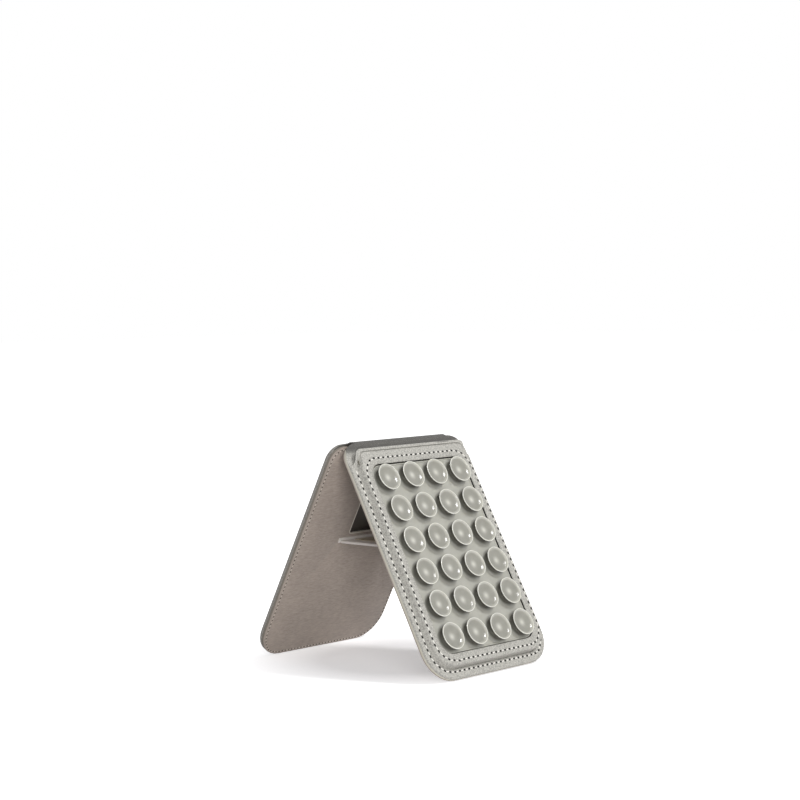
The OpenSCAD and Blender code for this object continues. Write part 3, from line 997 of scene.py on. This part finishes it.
class STAND_OT_suction_pad(bpy.types.Operator):
    """Suction pad: sheet, curb and cups of one translucent moulding"""

    bl_idname = "phone_stand.suction_pad"
    bl_label = "Suction Pad"

    def execute(self, context):
        sizes = context.scene.stand_sizes
        colours = context.scene.stand_colours
        silicone = cast_silicone("moulded_silicone", colours.silicone, colours.silicone_lit)
        bm = bmesh.new()
        painted_light = bm.verts.layers.float.new("painted_light")
        sections = [
            (window_outline(-0.3), CARRIER_HIGH), (window_outline(-0.3), PAD_HIGH + 0.1),
            (window_outline(-0.4), PAD_HIGH + 0.25), (window_outline(-0.75), PAD_HIGH + 0.25),
            (window_outline(-0.95), PAD_HIGH),
        ]
        for ring in loft(bm, sections, closed=False):
            fill(bm, [ring])
        for vert in bm.verts:
            vert[painted_light] = PAD_PAINTED_LIGHT
        middle = -(WINDOW_TOP + WINDOW_FOOT) / 2
        places = [
            Matrix.Translation((
                (column - (sizes.cup_columns - 1) / 2) * sizes.pitch_across,
                middle + ((sizes.cup_rows - 1) / 2 - row) * sizes.pitch_down, PAD_HIGH
            ))
            for row in range(sizes.cup_rows) for column in range(sizes.cup_columns)
        ]
        stamp(bm, cup_shape(sizes.cup_radius, sizes.cup_height), places)
        place_piece(bm, "suction_pad_silicone", WALLET, silicone, BODY_WALLET,
                    ("suction_pad",))
        return {"FINISHED"}


class STAND_OT_strut(bpy.types.Operator):
    """Strut: leather covers with eased edges round the steel core, and the narrow strap on top"""

    bl_idname = "phone_stand.strut"
    bl_label = "Strut"

    def execute(self, context):
        colours = context.scene.stand_colours
        leather = smooth_leather("pigmented_leather", colours.strap)
        strap_leather = smooth_leather("pigmented_strap_leather", "#B8AE9D")
        bottom = node_spans("strut_lower_cover", STRUT)[2][0]
        top = node_spans("strut_upper_cover", STRUT)[2][1]
        strap = node_spans("strut_strap", STRUT)[2]
        half, low, high = node_rectangle("strut_lower_cover", STRUT)
        bm = plate([box_outline(half, low, high, STRUT_CORNER)], bottom, top, 0.5)
        place_piece(bm, "strut_cover", STRUT, leather, BODY_STRUT,
                    ("strut_lower_cover", "strut_upper_cover"))
        half, low, high = node_rectangle("strut_strap", STRUT)
        outline = box_outline(half, low, high, STRUT_CORNER)
        bm = plate([outline], strap[0] - 0.05, strap[1], 0.12)
        place_piece(bm, "strut_top_strap", STRUT, strap_leather, BODY_STRUT,
                    ("strut_strap",))
        return {"FINISHED"}


class STAND_OT_inner_parts(bpy.types.Operator):
    """Inner parts: gives the boards, magnets, steel and tray their own materials"""

    bl_idname = "phone_stand.inner_parts"
    bl_label = "Inner Parts"

    def execute(self, context):
        colours = context.scene.stand_colours
        # Pressed fibre board: matt, with mottled fibres
        board = plain_finish("pressed_board", "#9A968E", 0.85, contrast=0.1)
        # Nickel-plated neodymium: a bright, cool metal
        magnet = plain_finish("nickel_plated_magnet", "#A9ACAF", 0.28, metallic=1.0)
        # Cold-rolled mild steel: a darker and duller metal
        steel = plain_finish("mild_steel", "#7B7E81", 0.4, metallic=1.0)
        # Vacuum-formed polystyrene: a dark warm grey, half matt
        tray = plain_finish("vacuum_formed_polystyrene", "#4A443D", 0.7)
        # Calendered polyester sheet: dull olive grey under the silicone
        sheet = plain_finish("calendered_polyester_sheet", "#5F5C52", 0.7)
        tab = smooth_leather("pigmented_leather", colours.strap)
        finishes = {
            "magnet_board_plate": board, "wallet_board_plate": board, "pocket_spacer": board,
            "ring_magnets_set": magnet, "alignment_magnet": magnet, "strut_magnets": magnet,
            "ring_yoke": steel, "keeper_plate": steel, "strut_core": steel,
            "window_recess": tray, "pad_carrier": sheet, "strut_anchor": tab,
        }
        for name, material in finishes.items():
            mesh = frame["nodes"][name].data
            mesh.materials.clear()
            mesh.materials.append(material)
        return {"FINISHED"}


# Camera of the photograph, its place in millimetres from the hinge's axis
CAMERA_AZIMUTH = math.radians(-47.29)
CAMERA_ELEVATION = math.radians(2.817)
CAMERA_ROLL = math.radians(-0.958)
CAMERA_FROM_AXIS = Vector((-545.5, -505.014, 54))
FOCAL_PIXELS = 1969.6
FRAME_PIXELS = 800
SENSOR_MM = 36

# Lamps: name, place in metres, side of the square in metres, and power in watts
LAMPS = (
    ("key_lamp", (0.3, -0.56, 0.8), 0.15, 4.2),
    ("side_lamp", (-0.74, -0.95, 0.23), 0.4, 8),
)
LAMP_TARGET = (0, 0, 0.045)
SURROUNDINGS = 0.36
# Painted shade near the object: the floor's glow grows between two distances from the origin, in
# metres
FLOOR_NEAR = 0.03
FLOOR_FAR = 0.085
FLOOR_GLOW_NEAR = 0.32


def add_camera():
    """The photograph's camera."""
    data = bpy.data.cameras.new("camera")
    data.sensor_width = SENSOR_MM
    data.lens = FOCAL_PIXELS * SENSOR_MM / FRAME_PIXELS
    data.clip_start = 0.01
    camera = bpy.data.objects.new("camera", data)
    flat = math.cos(CAMERA_ELEVATION)
    back = Vector((
        math.sin(CAMERA_AZIMUTH) * flat, -math.cos(CAMERA_AZIMUTH) * flat,
        math.sin(CAMERA_ELEVATION)
    ))
    right = Vector((math.cos(CAMERA_AZIMUTH), math.sin(CAMERA_AZIMUTH), 0))
    up = back.cross(right)
    cosine = math.cos(CAMERA_ROLL)
    sine = math.sin(CAMERA_ROLL)
    rolled = Matrix((right * cosine + up * sine, up * cosine - right * sine, back))
    place = (AXIS + CAMERA_FROM_AXIS) * MM
    camera.matrix_world = Matrix.Translation(place) @ rolled.transposed().to_4x4()
    bpy.context.scene.collection.objects.link(camera)
    bpy.context.scene.camera = camera


def add_lamp(name, place, target, size, power):
    """A soft square lamp that points at the object."""
    data = bpy.data.lights.new(name, "AREA")
    data.shape = "SQUARE"
    data.size = size
    data.energy = power
    lamp = bpy.data.objects.new(name, data)
    direction = Vector(target) - Vector(place)
    turn = direction.to_track_quat("-Z", "Y").to_matrix().to_4x4()
    lamp.matrix_world = Matrix.Translation(place) @ turn
    bpy.context.scene.collection.objects.link(lamp)


def seen_directly(tree):
    """1 where a camera, glossy or transmitted ray looks, so that shiny things show it too."""
    rays = add_node(tree, "ShaderNodeLightPath").outputs
    total = rays["Is Camera Ray"]
    for kind in ("Is Glossy Ray", "Is Transmission Ray"):
        total = add_node(tree, "ShaderNodeMath", {
            0: total, 1: rays[kind]
        }, operation="ADD", use_clamp=True).outputs[0]
    return total


def add_world():
    """White surroundings that light the object gently."""
    world = bpy.data.worlds.new("studio")
    world.use_nodes = True
    tree = world.node_tree
    tree.nodes.clear()
    lit = add_node(tree, "ShaderNodeBackground", {
        "Color": (1, 1, 1, 1), "Strength": SURROUNDINGS
    })
    seen = add_node(tree, "ShaderNodeBackground", {"Color": (1, 1, 1, 1), "Strength": 1.0})
    mix = add_node(tree, "ShaderNodeMixShader", {
        0: seen_directly(tree), 1: lit.outputs[0], 2: seen.outputs[0]
    })
    add_node(tree, "ShaderNodeOutputWorld", {"Surface": mix.outputs[0]})
    bpy.context.scene.world = world


def add_floor():
    """A white floor that keeps the object's shadow, with painted shade where its glow is weaker
    near it.
    """
    bm = bmesh.new()
    bmesh.ops.create_grid(bm, x_segments=1, y_segments=1, size=6)
    mesh = bpy.data.meshes.new("floor")
    bm.to_mesh(mesh)
    bm.free()
    floor = bpy.data.objects.new("floor", mesh)
    bpy.context.scene.collection.objects.link(floor)
    material, tree, place = start_material("studio_floor")
    reach = add_node(tree, "ShaderNodeVectorMath", {0: place}, operation="LENGTH")
    # Painted shade: the floor's glow is weaker near the object
    glow_with_painted_shade = add_node(tree, "ShaderNodeMapRange", {
        "Value": reach.outputs["Value"], "From Min": FLOOR_NEAR, "From Max": FLOOR_FAR,
        "To Min": FLOOR_GLOW_NEAR, "To Max": 1.0
    })
    base = add_node(tree, "ShaderNodeBsdfDiffuse", {"Color": (0.86, 0.85, 0.87, 1)})
    glow = add_node(tree, "ShaderNodeEmission", {
        "Color": (1, 1, 1, 1), "Strength": glow_with_painted_shade.outputs["Result"]
    })
    none = add_node(tree, "ShaderNodeEmission", {"Color": (0, 0, 0, 1), "Strength": 0.0})
    lift = add_node(tree, "ShaderNodeMixShader", {
        0: seen_directly(tree), 1: none.outputs[0], 2: glow.outputs[0]
    })
    both = add_node(tree, "ShaderNodeAddShader", {0: base.outputs[0], 1: lift.outputs[0]})
    add_node(tree, "ShaderNodeOutputMaterial", {"Surface": both.outputs[0]})
    mesh.materials.append(material)


class STAND_OT_stage(bpy.types.Operator):
    """Stage: white floor, soft studio lamps and the camera"""

    bl_idname = "phone_stand.stage"
    bl_label = "Stage"

    def execute(self, context):
        add_camera()
        add_world()
        add_floor()
        for name, place, size, power in LAMPS:
            add_lamp(name, place, LAMP_TARGET, size, power)
        context.scene.view_settings.view_transform = "Standard"
        return {"FINISHED"}


OPERATORS = (
    STAND_OT_outer_leather, STAND_OT_pocket_front, STAND_OT_wallet_seams, STAND_OT_linings,
    STAND_OT_edges, STAND_OT_suction_pad, STAND_OT_strut, STAND_OT_inner_parts, STAND_OT_stage,
)


class STAND_PT_panel(bpy.types.Panel):
    """Lists the pieces of the stand"""

    bl_label = "Phone Stand"
    bl_idname = "STAND_PT_panel"
    bl_space_type = "VIEW_3D"
    bl_region_type = "UI"
    bl_category = "Phone Stand"

    def draw(self, context):
        layout = self.layout
        for group in (context.scene.stand_sizes, context.scene.stand_colours):
            for name in group.bl_rna.properties.keys():
                if name not in ("rna_type", "name"):
                    layout.prop(group, name)
        for operator in OPERATORS:
            layout.operator(operator.bl_idname)


CLASSES = (StandSizes, StandColours, *OPERATORS, STAND_PT_panel)


def register():
    for item in CLASSES:
        bpy.utils.register_class(item)
    bpy.types.Scene.stand_sizes = PointerProperty(type=StandSizes)
    bpy.types.Scene.stand_colours = PointerProperty(type=StandColours)


def unregister():
    del bpy.types.Scene.stand_colours
    del bpy.types.Scene.stand_sizes
    for item in reversed(CLASSES):
        bpy.utils.unregister_class(item)


def main():
    register()
    bpy.ops.phone_stand.outer_leather()
    bpy.ops.phone_stand.pocket_front()
    bpy.ops.phone_stand.wallet_seams()
    bpy.ops.phone_stand.linings()
    bpy.ops.phone_stand.edges()
    bpy.ops.phone_stand.suction_pad()
    bpy.ops.phone_stand.strut()
    bpy.ops.phone_stand.inner_parts()
    bpy.ops.phone_stand.stage()


if __name__ == "__main__":
    main()
